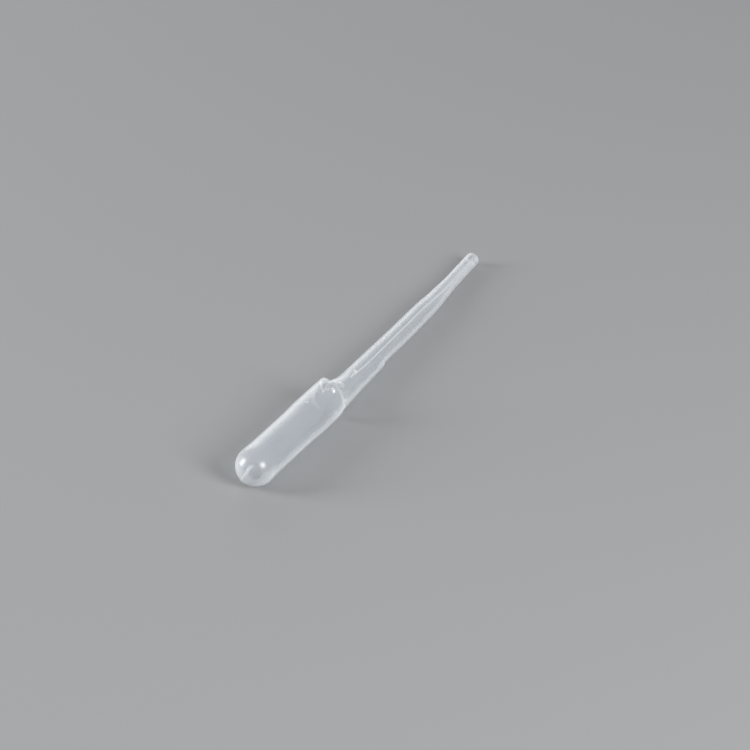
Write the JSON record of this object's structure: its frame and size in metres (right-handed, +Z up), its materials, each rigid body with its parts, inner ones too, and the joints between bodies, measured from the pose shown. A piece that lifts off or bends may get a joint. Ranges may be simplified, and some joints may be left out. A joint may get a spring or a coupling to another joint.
{
  "type": "dropper pipette",
  "caption": "One-piece soft plastic dropper: a round-ended squeeze bulb, a flared neck and a tapering hollow stem with a narrow straight tip.",
  "frame": {"origin": "on the surface that the part lies on, under the middle of its length and width", "axes": "+X along the bulb, from its round end towards the tip; +Z up from the surface that it lies on"},
  "size_m": [0.1551, 0.0152, 0.0132],
  "materials": {
    "plastic": "clear-milky, soft and waxy, with a satin gloss"
  },
  "bodies": {
    "root": {"pipette": "plastic"}
  },
  "joints": []
}
